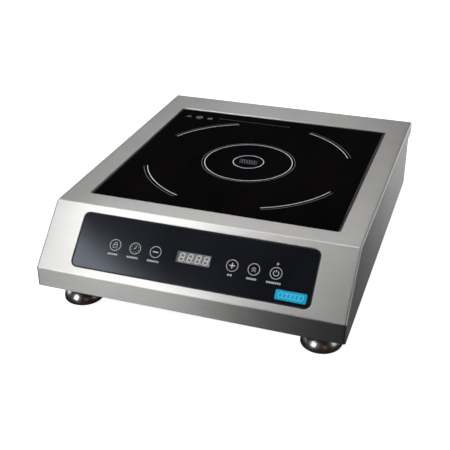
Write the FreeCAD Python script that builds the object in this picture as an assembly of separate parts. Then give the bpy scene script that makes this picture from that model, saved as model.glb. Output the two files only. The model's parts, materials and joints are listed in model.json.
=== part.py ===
"""Countertop induction hob: folded steel cover, ceramic glass, touch panel, coil, power electronics, fan and feet.

Millimetres, +Z up, +X to the cook's right and +Y to the rear. The origin is at the middle of the footprint,
on the surface that the hob stands on.
"""

import FreeCAD, Part
import math
import os

Vector = FreeCAD.Vector

# ---- driving dimensions: cover ----
WIDTH = 340.0
DEPTH = 415.0
HEIGHT = 112.0
SHEET = 1.2                  # thickness of every folded sheet
BODY_BOTTOM = 34.0           # underside of the cover
STRIP_HEIGHT = 22.5          # vertical front strip
SLOPE_RUN = 57.0             # depth of the sloping front
EAVE_DEPTH = 26.0            # overhang of the top behind the rear panel
EAVE_DROP = 14.0             # flange that hangs from the eave
BEND_RADIUS = 2.4            # outside radius of the folds
EDGE_ROUND = 0.6             # polished edge of the two openings
LIP = 10.0                   # inward lips that take the screws

# ---- driving dimensions: glass ----
GLASS_SIDE = 280.0
GLASS_THICK = 4.0
GLASS_RECESS = 1.0           # glass face below the steel top
GLASS_MIDDLE_Y = 17.0
SEAL_WIDTH = 2.5
SEAL_BED = 1.0               # seal under the glass
LEDGE = 9.0                  # frame ledge under the seal

# ---- driving dimensions: touch panel ----
PANEL_WIDTH = 261.0
PANEL_LENGTH = 60.4          # measured down the slope
PANEL_START = 9.6            # from the knee, down the slope
PANEL_THICK = 3.0
PANEL_RECESS = 0.3
PANEL_CORNER = 6.0
PANEL_GAP = 1.2
KEY_ROW = 40.2               # keys' middle line, down the slope
KEY_PLACES = (-87.0, -64.1, -40.7, 44.0, 67.1, 90.4)
DISPLAY_MIDDLE = 1.4
DISPLAY_WIDTH = 37.2
DISPLAY_HEIGHT = 12.0
LED_X = 90.2
LED_DOWN = 30.4
LED_RADIUS = 1.4
BADGE = (94.0, 126.2, 56.0, 66.3)    # x low, x high, slope low, slope high
BOARD_DEPTH = 13.3           # control board's face below the slope

# ---- driving dimensions: feet ----
FOOT_X = 138.0
FOOT_FRONT_Y = -165.5
FOOT_REAR_Y = 139.5
BELL_RADIUS = 22.3
STUD_RADIUS = 3.95           # M8, with running clearance in its nut
THREAD_PITCH = 1.25
THREAD_BORE = 4.0

# ---- driving dimensions: coil ----
COIL_INNER = 24.0
COIL_OUTER = 105.0
COIL_PITCH = 3.4
LITZ_WIDTH = 2.9
LITZ_HEIGHT = 3.6
COIL_BASE = 101.4            # underside of the winding
POST_X = 145.0
POST_Y = 48.0                # each side of the glass's middle

# ---- driving dimensions: fan and electronics ----
FAN_X = 85.0
FAN_Y = -95.0
FAN_SIDE = 92.0
FAN_HEIGHT = 25.0
FAN_HOLES = 82.5
SHAFT_RADIUS = 1.5
SHAFT_CLEARANCE = 0.05
BLADES = 7
BOARD = (-110.0, 128.0, -40.0, 140.0)    # power board: x low, x high, y low, y high
BOARD_TOP = 45.0
BOARD_THICK = 1.6
SINK = (45.0, 125.0, -30.0, 100.0)       # heat sink footprint
GLAND_X = -120.0
GLAND_Z = 60.0
CORD_RADIUS = 4.6

# ---- worked out ----
HALF_WIDTH = WIDTH / 2
FRONT_Y = -DEPTH / 2
REAR_Y = DEPTH / 2
KNEE_Y = FRONT_Y + SLOPE_RUN
PANEL_Y = REAR_Y - EAVE_DEPTH                      # outer face of the rear panel
SLOPE_DROP = HEIGHT - BODY_BOTTOM - STRIP_HEIGHT
SLOPE_ANGLE = math.degrees(math.atan2(SLOPE_DROP, SLOPE_RUN))
TRAY_TOP = BODY_BOTTOM
TRAY_BOTTOM = BODY_BOTTOM - SHEET
GLASS_TOP = HEIGHT - GLASS_RECESS
GLASS_BOTTOM = GLASS_TOP - GLASS_THICK
OPENING = GLASS_SIDE + 2 * SEAL_WIDTH
FEET = {
    "front_left": (-FOOT_X, FOOT_FRONT_Y),
    "front_right": (FOOT_X, FOOT_FRONT_Y),
    "rear_left": (-FOOT_X, FOOT_REAR_Y),
    "rear_right": (FOOT_X, FOOT_REAR_Y),
}


# ---- small helpers ----

def block(x0, x1, y0, y1, z0, z1):
    """Box between two corners."""
    return Part.makeBox(x1 - x0, y1 - y0, z1 - z0, Vector(x0, y0, z0))


def rod(x, y, z0, z1, radius):
    """Upright cylinder."""
    return Part.makeCylinder(radius, z1 - z0, Vector(x, y, z0))


def tube(x, y, z0, z1, outer, inner):
    """Upright cylinder with a hole right through."""
    return rod(x, y, z0, z1, outer).cut(rod(x, y, z0 - 1, z1 + 1, inner))


def rounded_block(x0, x1, y0, y1, z0, z1, radius):
    """Box with its four upright edges rounded."""
    solid = block(x0, x1, y0, y1, z0, z1)
    upright = [e for e in solid.Edges if abs(e.Vertexes[0].Z - e.Vertexes[1].Z) > 1e-6]
    return solid.makeFillet(radius, upright)


def centred_block(width, length, z0, z1, radius, middle_y=0.0):
    """Rounded block centred on x = 0."""
    return rounded_block(-width / 2, width / 2, middle_y - length / 2, middle_y + length / 2, z0, z1, radius)


def hexagon(x, y, z0, z1, across_flats):
    """Upright hexagonal prism."""
    corner = across_flats / math.sqrt(3.0)
    points = [
        Vector(x + corner * math.cos(math.radians(60 * i)), y + corner * math.sin(math.radians(60 * i)), z0)
        for i in range(7)
    ]
    return Part.Face(Part.makePolygon(points)).extrude(Vector(0, 0, z1 - z0))


def turned(points):
    """Solid of revolution about Z from (radius, height) points."""
    outline = [Vector(r, 0, z) for r, z in points]
    face = Part.Face(Part.makePolygon(outline + outline[:1]))
    return face.revolve(Vector(0, 0, 0), Vector(0, 0, 1), 360)


def arc_points(centre_r, centre_z, radius, start, end, steps):
    """Points along an arc in the (radius, height) plane, angles in degrees."""
    angles = [math.radians(start + (end - start) * i / steps) for i in range(steps + 1)]
    return [(centre_r + radius * math.cos(a), centre_z + radius * math.sin(a)) for a in angles]


def spring(x, y, z0, height, radius, wire, turns):
    """Open coil spring on an upright axis: half rings that tilt to and fro, one after the other."""
    rise = height / (2 * turns)
    ring_radius = math.hypot(radius, rise / 2)
    tilt = math.degrees(math.atan2(rise / 2, radius))
    halves = []
    for i in range(2 * turns):
        half = Part.makeTorus(ring_radius, wire, Vector(0, 0, 0), Vector(0, 0, 1), -180, 180, 180)
        if i % 2:
            half.rotate(Vector(0, 0, 0), Vector(0, 0, 1), 180)
        half.rotate(Vector(0, 0, 0), Vector(0, 1, 0), -tilt if i % 2 else tilt)
        half.translate(Vector(x, y, z0 + rise * (i + 0.5)))
        halves.append(half)
    return halves[0].multiFuse(halves[1:])


def on_slope(shape):
    """Moves a shape from slope axes to the hob: x across, -y down the slope from the knee, z out of it."""
    placed = shape.copy()
    placed.Placement = FreeCAD.Placement(
        Vector(0, KNEE_Y, HEIGHT), FreeCAD.Rotation(Vector(1, 0, 0), SLOPE_ANGLE)
    ).multiply(placed.Placement)
    return placed


def slope_point(down, out):
    """(y, z) of a point down the slope from the knee and out of its face."""
    angle = math.radians(SLOPE_ANGLE)
    return (
        KNEE_Y - down * math.cos(angle) - out * math.sin(angle),
        HEIGHT - down * math.sin(angle) + out * math.cos(angle),
    )


def group(shapes):
    """Several separate solids in one node."""
    return Part.makeCompound(shapes)


def save(node, shape):
    """Writes one node and reports its solids and volume."""
    solids = shape.Solids
    valid = all(s.isValid() and s.isClosed() for s in solids)
    print(f"{node:26s} solids {len(solids):3d} volume {sum(s.Volume for s in solids) / 1000:9.2f} cm3 valid {valid}")
    shape.exportStep(f"parts/{node}.step")


# ---- housing ----

def cover_outline(inset):
    """Side outline of the cover's sheet, from the strip's foot to the eave's foot, moved inwards by inset."""
    angle = math.radians(SLOPE_ANGLE)
    front = FRONT_Y + inset
    top = HEIGHT - inset
    fold_z = HEIGHT + (-inset + (front - KNEE_Y) * math.sin(angle)) / math.cos(angle)
    knee_y = KNEE_Y + inset * (1 - math.cos(angle)) / math.sin(angle)
    rear = REAR_Y - inset
    return [
        (front, BODY_BOTTOM - inset),
        (front, fold_z),
        (knee_y, top),
        (rear, top),
        (rear, HEIGHT - EAVE_DROP - inset),
    ]


def folded_body(inset):
    """Closed body inside the cover's outline, with its folds rounded."""
    bends = cover_outline(inset)
    half = HALF_WIDTH - inset
    rear = PANEL_Y + inset
    outline = bends + [(rear, HEIGHT - EAVE_DROP - inset), (rear, BODY_BOTTOM - inset)]
    points = [Vector(-half, y, z) for y, z in outline]
    body = Part.Face(Part.makePolygon(points + points[:1])).extrude(Vector(2 * half, 0, 0))

    def corner(vertex):
        for number, (y, z) in enumerate(bends):
            if abs(vertex.Y - y) < 1e-6 and abs(vertex.Z - z) < 1e-6:
                return number
        return None

    folds = []
    for edge in body.Edges:
        first, last = (corner(v) for v in edge.Vertexes)
        if first is None or last is None:
            continue
        if abs(first - last) == 1 or (first == last and first in (1, 2, 3)):
            folds.append(edge)
    return body.makeFillet(BEND_RADIUS - inset, folds)


def round_opening(sheet, low, high, height):
    """Rounds the edges of an opening that lie on the outer face, inside the given x and y limits."""
    edges = [
        e
        for e in sheet.Edges
        if abs(e.BoundBox.ZMin - height) < 1e-4
        and abs(e.BoundBox.ZMax - height) < 1e-4
        and e.BoundBox.XMin > low[0]
        and e.BoundBox.XMax < high[0]
        and e.BoundBox.YMin > low[1]
        and e.BoundBox.YMax < high[1]
    ]
    return sheet.makeFillet(EDGE_ROUND, edges)


def top_cover():
    """Folded, welded and polished sheet: top, slope, front strip, sides and eave, with lips for the screws."""
    cover = folded_body(0.0).cut(folded_body(SHEET))
    inner = HALF_WIDTH - SHEET
    lip_top = BODY_BOTTOM + SHEET
    overlap = 0.3                     # lips run into the walls that they are folded from
    for side in (-1, 1):
        x0, x1 = sorted((side * (inner - LIP), side * (inner + overlap)))
        cover = cover.fuse(block(x0, x1, FRONT_Y + SHEET, PANEL_Y - SHEET, BODY_BOTTOM, lip_top))
        cover = cover.fuse(block(x0, x1, PANEL_Y - 2 * SHEET, PANEL_Y - SHEET, BODY_BOTTOM, HEIGHT - SHEET - 2))
    cover = cover.fuse(block(-inner, inner, FRONT_Y + SHEET - overlap, FRONT_Y + SHEET + LIP, BODY_BOTTOM, lip_top))
    cover = cover.removeSplitter()

    cover = cover.cut(centred_block(OPENING, OPENING, HEIGHT - 10, HEIGHT + 10, 3.0, GLASS_MIDDLE_Y))
    reach = OPENING / 2 + 2
    cover = round_opening(
        cover, (-reach, GLASS_MIDDLE_Y - reach), (reach, GLASS_MIDDLE_Y + reach), HEIGHT
    )

    back = FreeCAD.Placement(Vector(0, KNEE_Y, HEIGHT), FreeCAD.Rotation(Vector(1, 0, 0), SLOPE_ANGLE)).inverse()
    cover.Placement = back.multiply(cover.Placement)
    middle = -(PANEL_START + PANEL_LENGTH / 2)
    window = centred_block(
        PANEL_WIDTH + 2 * PANEL_GAP, PANEL_LENGTH + 2 * PANEL_GAP, -4, 4, PANEL_CORNER + PANEL_GAP, middle
    )
    cover = cover.cut(window)
    reach = PANEL_WIDTH / 2 + 2 * PANEL_GAP
    tall = PANEL_LENGTH / 2 + 2 * PANEL_GAP
    cover = round_opening(cover, (-reach, middle - tall), (reach, middle + tall), 0.0)
    cover = on_slope(cover)

    for x, y in base_screw_places():
        cover = cover.cut(rod(x, y, BODY_BOTTOM - 1, lip_top + 1, 2.0))
    for x, z in rear_screw_places():
        cover = cover.cut(Part.makeCylinder(2.0, 8, Vector(x, PANEL_Y - 6, z), Vector(0, 1, 0)))
    return cover


def base_screw_places():
    """Screws through the tray into the cover's lips."""
    side = HALF_WIDTH - SHEET - LIP / 2
    places = [(s * side, y) for s in (-1, 1) for y in (-120.0, -20.0, 80.0, 168.0)]
    return places + [(x, FRONT_Y + SHEET + LIP / 2) for x in (-80.0, 80.0)]


def rear_screw_places():
    """Screws through the rear panel into the cover's lips, as (x, z)."""
    side = HALF_WIDTH - SHEET - LIP / 2
    return [(s * side, z) for s in (-1, 1) for z in (46.0, 88.0)]


def slot(x0, x1, y, width, z0, z1):
    """Slot with round ends along X."""
    return rounded_block(x0, x1, y - width / 2, y + width / 2, z0, z1, width / 2 - 0.01)


def base_tray():
    """Bottom plate with stiffening ribs, fan intake slots and holes for studs and screws."""
    inset = 1.5
    tray = rounded_block(
        -HALF_WIDTH + inset, HALF_WIDTH - inset, FRONT_Y + inset, PANEL_Y, TRAY_BOTTOM, TRAY_TOP, 2.0
    )
    for y in (-15.0, 165.0):
        tray = tray.fuse(rounded_block(-120, 120, y - 4, y + 4, TRAY_TOP - 0.2, TRAY_TOP + 1.6, 3.9))
    cuts = []
    pitch = 6.6
    reach = 41.0
    for row in range(-6, 7):
        y = FAN_Y + row * pitch
        half = math.sqrt(reach ** 2 - (row * pitch) ** 2)
        if half < 12:
            continue
        for side in (-1, 1):
            x0, x1 = sorted((FAN_X + side * 3.0, FAN_X + side * half))
            cuts.append(slot(x0, x1, y, 3.4, TRAY_BOTTOM - 1, TRAY_TOP + 1))
    for x, y in FEET.values():
        cuts.append(rod(x, y, TRAY_BOTTOM - 1, TRAY_TOP + 1, 4.4))
    for x, y in base_screw_places():
        cuts.append(rod(x, y, TRAY_BOTTOM - 1, TRAY_TOP + 1, 2.2))
    for x, y in fan_hole_places():
        cuts.append(rod(x, y, TRAY_BOTTOM - 1, TRAY_TOP + 1, 2.0))
    return tray.cut(cuts)


def rear_panel():
    """Closing panel under the eave, with a field of exhaust slots and the hole for the cord gland."""
    side = HALF_WIDTH - SHEET - 0.2
    panel = block(-side, side, PANEL_Y - SHEET, PANEL_Y, BODY_BOTTOM, HEIGHT - SHEET)
    upper = [e for e in panel.Edges if e.BoundBox.YLength > 1 and e.BoundBox.ZMin > HEIGHT - SHEET - 0.1]
    panel = panel.makeFillet(BEND_RADIUS, upper)
    cuts = []
    for column in range(27):
        x = -44.0 + column * 7.0
        for z0 in (44.0, 70.0):
            blade = block(x - 1.6, x + 1.6, PANEL_Y - SHEET - 1, PANEL_Y + 1, z0, z0 + 20)
            along_y = [e for e in blade.Edges if e.BoundBox.YLength > 1]
            cuts.append(blade.makeFillet(1.59, along_y))
    cuts.append(Part.makeCylinder(10.2, 8, Vector(GLAND_X, PANEL_Y - 4, GLAND_Z), Vector(0, 1, 0)))
    for x, z in rear_screw_places():
        cuts.append(Part.makeCylinder(2.2, 8, Vector(x, PANEL_Y - 6, z), Vector(0, 1, 0)))
    return panel.cut(cuts)


def pan_head_screw():
    """Cross-recessed screw, head up, with its seat at z = 0."""
    head = turned([(0, 0), (3.6, 0)] + arc_points(0, -2.2, math.hypot(3.6, 2.2), 31.4, 78, 6) + [(0, 2.0)])
    shank = rod(0, 0, -6.0, 0.1, 1.85)
    screw = head.fuse(shank)
    for angle in (0, 90):
        cross = block(-2.0, 2.0, -0.35, 0.35, 0.9, 4.0)
        cross.rotate(Vector(0, 0, 0), Vector(0, 0, 1), angle)
        screw = screw.cut(cross)
    return screw


def housing_screws():
    """Base screws point up into the lips, rear screws point forward."""
    screws = []
    for x, y in base_screw_places():
        screw = pan_head_screw()
        screw.rotate(Vector(0, 0, 0), Vector(1, 0, 0), 180)
        screws.append(screw.translated(Vector(x, y, TRAY_BOTTOM)))
    for x, z in rear_screw_places():
        screw = pan_head_screw()
        screw.rotate(Vector(0, 0, 0), Vector(1, 0, 0), -90)
        screws.append(screw.translated(Vector(x, PANEL_Y, z)))
    return group(screws)


# ---- glass ----

def ceramic_glass():
    """Square cooking glass with a ground bevel round its face."""
    glass = centred_block(GLASS_SIDE, GLASS_SIDE, GLASS_BOTTOM, GLASS_TOP, 2.0, GLASS_MIDDLE_Y)
    rim = [e for e in glass.Edges if abs(e.BoundBox.ZMin - GLASS_TOP) < 1e-4]
    return glass.makeChamfer(0.5, rim)


def glass_seal():
    """Silicone round the glass's edge and in a bed under it."""
    outside = centred_block(OPENING, OPENING, GLASS_BOTTOM - SEAL_BED, GLASS_TOP - 0.4, 3.0, GLASS_MIDDLE_Y)
    pocket = centred_block(GLASS_SIDE, GLASS_SIDE, GLASS_BOTTOM, GLASS_TOP + 1, 2.0, GLASS_MIDDLE_Y)
    inside = GLASS_SIDE - 2 * (LEDGE - SEAL_WIDTH)
    hole = centred_block(inside, inside, GLASS_BOTTOM - 3, GLASS_TOP + 1, 2.0, GLASS_MIDDLE_Y)
    return outside.cut(pocket).cut(hole)


def glass_frame():
    """Joggled frame under the opening: flange on the sheet, wall, and ledge that carries the glass."""
    ledge_top = GLASS_BOTTOM - SEAL_BED
    under_sheet = HEIGHT - SHEET
    flange = OPENING + 2 * LEDGE
    wall = OPENING + 2 * SHEET
    inside = OPENING - 2 * LEDGE
    frame = centred_block(flange, flange, under_sheet - SHEET, under_sheet, 5.0, GLASS_MIDDLE_Y)
    frame = frame.fuse(centred_block(wall, wall, ledge_top - SHEET, under_sheet, 4.0, GLASS_MIDDLE_Y))
    frame = frame.cut(centred_block(OPENING, OPENING, ledge_top, under_sheet + 1, 3.0, GLASS_MIDDLE_Y))
    return frame.cut(centred_block(inside, inside, ledge_top - 3, under_sheet + 1, 3.0, GLASS_MIDDLE_Y))


# ---- touch panel ----

def slope_plate(width, start, length, low, high, radius):
    """Rounded plate in slope axes, from start to start + length down the slope."""
    return centred_block(width, length, low, high, radius, -(start + length / 2))


def slope_rod(x, down, low, high, radius):
    """Pin at right angles to the slope, in slope axes."""
    return rod(x, -down, low, high, radius)


def display_cut(clearance, low, high):
    """Block over the display's window, in slope axes."""
    half = DISPLAY_WIDTH / 2 + clearance
    tall = DISPLAY_HEIGHT / 2 + clearance
    return block(DISPLAY_MIDDLE - half, DISPLAY_MIDDLE + half, -KEY_ROW - 0.3 - tall, -KEY_ROW - 0.3 + tall, low, high)


def control_panel():
    """Touch panel with a window for the display and a small hole for the indicator."""
    top = -PANEL_RECESS
    plate = slope_plate(PANEL_WIDTH, PANEL_START, PANEL_LENGTH, top - PANEL_THICK, top, PANEL_CORNER)
    rim = [e for e in plate.Edges if abs(e.BoundBox.ZMin - top) < 1e-4 and abs(e.BoundBox.ZMax - top) < 1e-4]
    plate = plate.makeChamfer(0.3, rim)
    plate = plate.cut(display_cut(0.15, -10, 10))
    return on_slope(plate.cut(slope_rod(LED_X, LED_DOWN, -10, 10, LED_RADIUS + 0.1)))


def panel_gasket():
    """Black gasket: fills the gap round the panel and backs its rim."""
    back = -PANEL_RECESS - PANEL_THICK
    outer = slope_plate(
        PANEL_WIDTH + 2 * PANEL_GAP,
        PANEL_START - PANEL_GAP,
        PANEL_LENGTH + 2 * PANEL_GAP,
        back - 1.2,
        -0.9,
        PANEL_CORNER + PANEL_GAP,
    )
    pocket = slope_plate(PANEL_WIDTH, PANEL_START, PANEL_LENGTH, back, 2, PANEL_CORNER)
    hole = slope_plate(PANEL_WIDTH - 13, PANEL_START + 6.5, PANEL_LENGTH - 13, back - 3, 2, 3.0)
    return on_slope(outer.cut(pocket).cut(hole))


def panel_bracket():
    """Shallow steel carrier behind the panel, fixed to the underside of the slope."""
    seat = -PANEL_RECESS - PANEL_THICK - 1.2
    outer = slope_plate(280, 3, 73, seat - SHEET, -SHEET, 4.0)
    pocket = slope_plate(280 - 2 * SHEET, 3 + SHEET, 73 - 2 * SHEET, seat, 2, 3.0)
    hole = slope_plate(PANEL_WIDTH - 13, PANEL_START + 6.5, PANEL_LENGTH - 13, seat - 3, 2, 3.0)
    return on_slope(outer.cut(pocket).cut(hole))


def badge_plate():
    """Plain rounded plate bonded to the panel's lower right corner."""
    x0, x1, start, end = BADGE
    plate = rounded_block(x0, x1, -end, -start, -PANEL_RECESS, -PANEL_RECESS + 0.4, 1.6)
    rim = [e for e in plate.Edges if abs(e.BoundBox.ZMin + PANEL_RECESS - 0.4) < 1e-4]
    return on_slope(plate.makeFillet(0.25, rim))


def display_pins(radius, low, high):
    """The display module's twelve pins, or the holes for them."""
    return [
        slope_rod(DISPLAY_MIDDLE + dx, KEY_ROW + 0.3 + dy, low, high, radius)
        for dx in (-12.7, -7.6, -2.5, 2.5, 7.6, 12.7)
        for dy in (-5.0, 5.0)
    ]


def led_display():
    """Four-digit display module, its face just below the panel's."""
    body = display_cut(0.0, -BOARD_DEPTH, -PANEL_RECESS - 0.2)
    return on_slope(body.fuse(display_pins(0.3, -BOARD_DEPTH - BOARD_THICK, -BOARD_DEPTH + 0.2)))


def power_led():
    """Indicator: a small domed light on a stem from the control board."""
    stem = slope_rod(LED_X, LED_DOWN, -BOARD_DEPTH, -PANEL_RECESS, LED_RADIUS)
    rim = [e for e in stem.Edges if abs(e.BoundBox.ZMin + PANEL_RECESS) < 1e-4]
    stem = stem.makeFillet(0.5, rim)
    return on_slope(stem.fuse(slope_rod(LED_X, LED_DOWN, -BOARD_DEPTH, -BOARD_DEPTH + 1.2, 2.0)))


def post_places():
    """Control board posts, as (x, distance down the slope)."""
    return [(x, down) for x in (-127.5, 127.5) for down in (12.0, 67.0)]


def control_board():
    """Circuit board behind the panel."""
    board = slope_plate(264, 8.5, 62, -BOARD_DEPTH - BOARD_THICK, -BOARD_DEPTH, 2.0)
    pegs = [slope_rod(x, down, -30, 0, 1.3) for x, down in post_places()]
    return on_slope(board.cut(pegs + display_pins(0.4, -30, 0)))


def control_board_posts():
    """Plastic posts with a peg through the board."""
    seat = -PANEL_RECESS - PANEL_THICK - 1.2 - SHEET
    posts = []
    for x, down in post_places():
        post = slope_rod(x, down, -BOARD_DEPTH, seat, 2.6)
        post = post.fuse(slope_rod(x, down, -BOARD_DEPTH - BOARD_THICK - 1.5, -BOARD_DEPTH + 0.2, 1.2))
        posts.append(on_slope(post))
    return group(posts)


def control_board_parts():
    """Microcontroller, touch controller, drivers, connector and sounder on the board's back."""
    back = -BOARD_DEPTH - BOARD_THICK
    packages = ((-20, 30, 14, 14, 1.6), (60, 34, 10, 10, 1.6), (-75, 34, 12, 8, 1.8), (25, 50, 8, 5, 1.5))
    chips = [
        block(x - w / 2, x + w / 2, -down - h / 2, -down + h / 2, back - t, back) for x, down, w, h, t in packages
    ]
    socket = block(-41, -24, -60, -54, back - 6, back)
    chips.append(socket.cut(block(-40, -25, -59, -55, back - 7, back - 1.5)))
    sounder = slope_rod(100, 42, back - 7, back, 5.0).cut(slope_rod(100, 42, back - 8, back - 5, 1.0))
    return on_slope(group(chips + [sounder]))


def touch_springs():
    """Capacitive sensing springs, one behind each key."""
    wire = 0.35
    base = -BOARD_DEPTH + wire + 0.05
    height = -PANEL_RECESS - PANEL_THICK - wire - 0.05 - base
    return on_slope(group([spring(x, -KEY_ROW, base, height, 3.6, wire, 4) for x in KEY_PLACES]))


# ---- feet ----

def foot_bell(x, y):
    """Chromed bell foot: rounded rim, one smooth dome and a neck, hollow underneath with a boss for the stud."""
    underside = 1.2
    bead = 1.4
    dome_radius = 17.0
    rim = arc_points(BELL_RADIUS - bead, underside + bead, bead, -90, 0, 6)
    dome = arc_points(BELL_RADIUS - dome_radius, underside + bead, dome_radius, 0, 72, 24)[1:]
    neck = [(10.2, 19.6), (9.5, 21.6), (9.0, 32.2), (8.6, TRAY_BOTTOM - 0.2)]
    bore_foot = 19.0
    inside = [
        (STUD_RADIUS + SHAFT_CLEARANCE, TRAY_BOTTOM - 0.2),
        (STUD_RADIUS + SHAFT_CLEARANCE, bore_foot),
        (0.0, bore_foot),
        (0.0, 16.5),
        (8.0, 16.5),
        (14.0, 13.0),
        (17.0, 8.0),
        (17.0, underside),
    ]
    return turned(rim + dome + neck + inside).translated(Vector(x, y, 0))


def foot_pad(x, y):
    """Rubber pad pressed into the bell, standing just proud of its rim."""
    edge = 17.0
    pad = turned([(0, 0), (edge - 1.4, 0), (edge, 1.0), (edge, 6.0), (edge - 2, 7.0), (0, 7.0)])
    ring = tube(0, 0, -1, 0.6, 10.5, 9.0)
    return pad.cut(ring).translated(Vector(x, y, 0))


def foot_stud(x, y):
    """Threaded stud, drawn with one groove for each turn of thread."""
    foot, head = 19.4, 50.0
    root = STUD_RADIUS - 0.65
    turns = int((head - foot - 2.0) / THREAD_PITCH)
    points = [(0.0, foot), (root, foot)]
    for turn in range(turns):
        z = foot + 1.0 + turn * THREAD_PITCH
        points += [(root, z), (STUD_RADIUS, z + 0.5 * THREAD_PITCH), (root, z + 0.98 * THREAD_PITCH)]
    points += [(root, head), (0.0, head)]
    return turned(points).translated(Vector(x, y, 0))


def foot_nuts():
    """Hexagon nuts fixed on the tray, one for each stud."""
    nuts = []
    for x, y in FEET.values():
        nut = hexagon(x, y, TRAY_TOP, TRAY_TOP + 6.5, 13.0)
        nuts.append(nut.cut(rod(x, y, TRAY_TOP - 1, TRAY_TOP + 8, THREAD_BORE)))
    return group(nuts)


# ---- coil ----

def spiral_band(inner, outer, z0, z1, width, pitch):
    """Flat spiral of constant pitch, drawn as a band between two spirals and raised."""
    turns = (outer - inner - width) / pitch
    steps = int(turns * 18)

    def edge(offset):
        points = []
        for i in range(steps + 1):
            angle = 2 * math.pi * turns * i / steps
            radius = inner + offset + pitch * angle / (2 * math.pi)
            points.append(Vector(radius * math.cos(angle), radius * math.sin(angle), z0))
        curve = Part.BSplineCurve()
        curve.interpolate(points)
        return curve.toShape(), points

    low, low_points = edge(0.0)
    high, high_points = edge(width)
    ends = [
        Part.LineSegment(low_points[0], high_points[0]).toShape(),
        Part.LineSegment(low_points[-1], high_points[-1]).toShape(),
    ]
    wire = Part.Wire(Part.__sortEdges__([low, high] + ends))
    return Part.Face(wire).extrude(Vector(0, 0, z1 - z0))


def coil_winding():
    """Litz spiral in two fields with a gap between them."""
    gap_from, gap_to = 58.0, 66.0
    fields = [(COIL_INNER, gap_from), (gap_to, COIL_OUTER)]
    bands = [
        spiral_band(a, b, COIL_BASE, COIL_BASE + LITZ_HEIGHT, LITZ_WIDTH, COIL_PITCH).translated(
            Vector(0, GLASS_MIDDLE_Y, 0)
        )
        for a, b in fields
    ]
    return group(bands)


def coil_carrier():
    """Plastic former: a disc with radial spokes, rims round each field and pockets for the ferrites."""
    y = GLASS_MIDDLE_Y
    top = COIL_BASE
    disc = tube(0, y, top - 1.6, top, COIL_OUTER + 3, 14.0)
    outer_rim = tube(0, y, top - 8.6, top + 3.0, COIL_OUTER + 3, COIL_OUTER + 1.4)
    inner_rim = tube(0, y, top - 8.6, top + 3.0, COIL_INNER - 1.4, COIL_INNER - 3)
    carrier = disc.fuse([outer_rim, inner_rim])
    for i in range(8):
        angle = 45 * i + 22.5
        for side in (-1, 1):
            wall = block(COIL_INNER - 2, COIL_OUTER + 2, side * 8.2 - 0.8, side * 8.2 + 0.8, top - 8.6, top - 1.5)
            wall.rotate(Vector(0, 0, 0), Vector(0, 0, 1), angle)
            carrier = carrier.fuse(wall.translated(Vector(0, y, 0)))
    windows = []
    for i in range(8):
        window = block(40, 96, -9, 9, top - 3, top + 1)
        window.rotate(Vector(0, 0, 0), Vector(0, 0, 1), 45 * i)
        windows.append(window.translated(Vector(0, y, 0)))
    return carrier.cut(windows)


def ferrite_bars():
    """Eight radial bars in the carrier's pockets."""
    bars = []
    for i in range(8):
        bar = block(COIL_INNER + 6, COIL_OUTER - 3, -7.2, 7.2, COIL_BASE - 7.8, COIL_BASE - 1.8)
        bar.rotate(Vector(0, 0, 0), Vector(0, 0, 1), 45 * i + 22.5)
        bars.append(bar.translated(Vector(0, GLASS_MIDDLE_Y, 0)))
    return group(bars)


def mica_sheet():
    """Insulating disc between the winding and the glass."""
    return tube(0, GLASS_MIDDLE_Y, COIL_BASE + LITZ_HEIGHT + 0.2, COIL_BASE + LITZ_HEIGHT + 0.8, 107.0, 9.0)


def coil_post_places():
    """Posts that carry the coil bracket."""
    return [(sx * POST_X, GLASS_MIDDLE_Y + sy * POST_Y) for sx in (-1, 1) for sy in (-1, 1)]


def coil_bracket():
    """Aluminium plate under the coil, with ears on the posts."""
    y = GLASS_MIDDLE_Y
    top = COIL_BASE - 8.8
    plate = rod(0, y, top - 1.5, top, 106.0)
    for sy in (-1, 1):
        middle = y + sy * POST_Y
        plate = plate.fuse(rounded_block(-POST_X - 8, POST_X + 8, middle - 9, middle + 9, top - 1.5, top, 6.0))
    cuts = [rod(0, y, top - 3, top + 1, 20.0)]
    for x, post_y in coil_post_places():
        cuts.append(rod(x, post_y, top - 3, top + 1, 2.3))
    for i in range(4):
        window = rounded_block(42, 82, -16, 16, top - 3, top + 1, 6.0)
        window.rotate(Vector(0, 0, 0), Vector(0, 0, 1), 90 * i)
        cuts.append(window.translated(Vector(0, y, 0)))
    return plate.cut(cuts)


def coil_posts():
    """Hexagon standoffs with a guide pin for the springs."""
    posts = []
    for x, y in coil_post_places():
        post = hexagon(x, y, TRAY_TOP, 80.0, 8.0)
        posts.append(post.fuse(rod(x, y, 79.5, COIL_BASE - 6.0, 2.1)))
    return group(posts)


def coil_springs():
    """Springs that press the coil against the glass."""
    wire = 0.5
    top = COIL_BASE - 8.8 - 1.5
    height = top - 80.0 - 2 * wire - 0.1
    return group([spring(x, y, 80.0 + wire + 0.05, height, 3.2, wire, 4) for x, y in coil_post_places()])


def sensor_holder():
    """Silicone holder in the coil's middle, standing on the bracket."""
    y = GLASS_MIDDLE_Y
    foot = COIL_BASE - 8.8
    holder = rod(0, y, foot, foot + 2.0, 20.5).cut(rod(0, y, foot - 1, foot + 3, 4.0))
    stem = tube(0, y, foot + 1.5, GLASS_BOTTOM - 1.0, 7.0, 4.0)
    return holder.fuse(stem)


def pan_sensor():
    """Thermistor bead with its two legs."""
    y = GLASS_MIDDLE_Y
    bead = Part.makeSphere(2.2, Vector(0, y, GLASS_BOTTOM - 2.3))
    legs = [rod(x, y, 84.0, GLASS_BOTTOM - 3.0, 0.4) for x in (-1.0, 1.0)]
    return bead.fuse(legs)


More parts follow.
